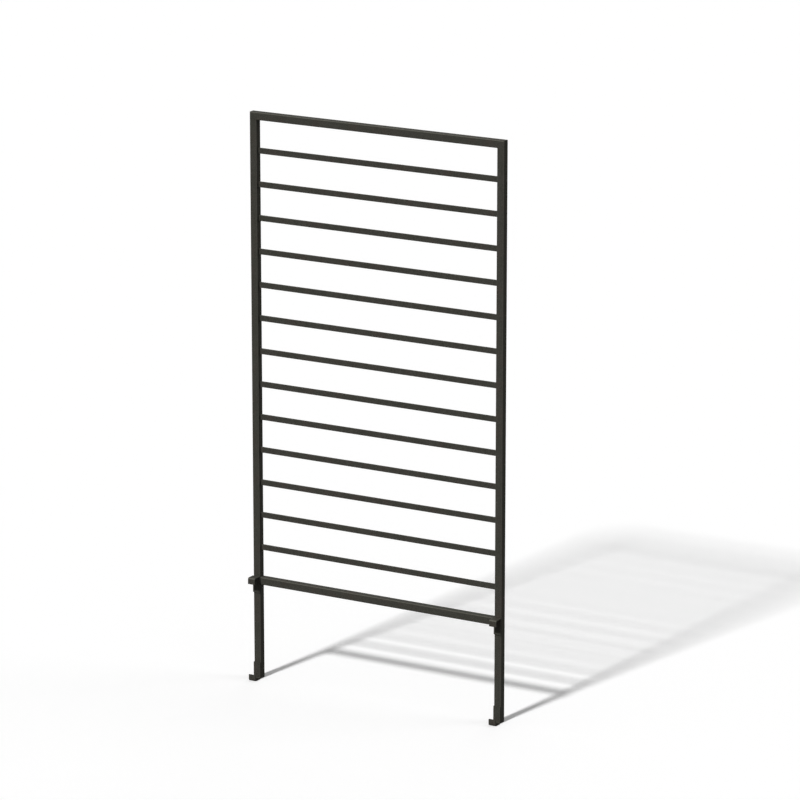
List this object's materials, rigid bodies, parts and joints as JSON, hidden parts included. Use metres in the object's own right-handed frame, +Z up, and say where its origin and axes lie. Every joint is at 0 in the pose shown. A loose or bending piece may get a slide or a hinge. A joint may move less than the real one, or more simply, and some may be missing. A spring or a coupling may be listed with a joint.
{
  "type": "garden trellis",
  "caption": "Rigid steel trellis panel with level rungs between two stiles, legs below it, hooks for a planter's rim and lipped feet.",
  "frame": {"origin": "on the ground, at the centre of the footprint", "axes": "+X along the rungs, +Z up, -Y towards the planter, where the hooks and the lips of the feet point"},
  "size_m": [0.914, 0.0596, 1.874],
  "materials": {
    "powder_coated_steel": "fine-textured matt powder coat, dark bronze grey",
    "plug_plastic": "black moulded polyethylene"
  },
  "bodies": {
    "root": {"left_stile": "powder_coated_steel", "right_stile": "powder_coated_steel", "top_rail": "powder_coated_steel", "bottom_rail": "powder_coated_steel", "rung_01": "powder_coated_steel", "rung_02": "powder_coated_steel", "rung_03": "powder_coated_steel", "rung_04": "powder_coated_steel", "rung_05": "powder_coated_steel", "rung_06": "powder_coated_steel", "rung_07": "powder_coated_steel", "rung_08": "powder_coated_steel", "rung_09": "powder_coated_steel", "rung_10": "powder_coated_steel", "rung_11": "powder_coated_steel", "rung_12": "powder_coated_steel", "rung_13": "powder_coated_steel", "left_rim_hook": "powder_coated_steel", "right_rim_hook": "powder_coated_steel", "left_foot_hook": "powder_coated_steel", "right_foot_hook": "powder_coated_steel", "left_leg_plug": "plug_plastic", "right_leg_plug": "plug_plastic"}
  },
  "joints": []
}
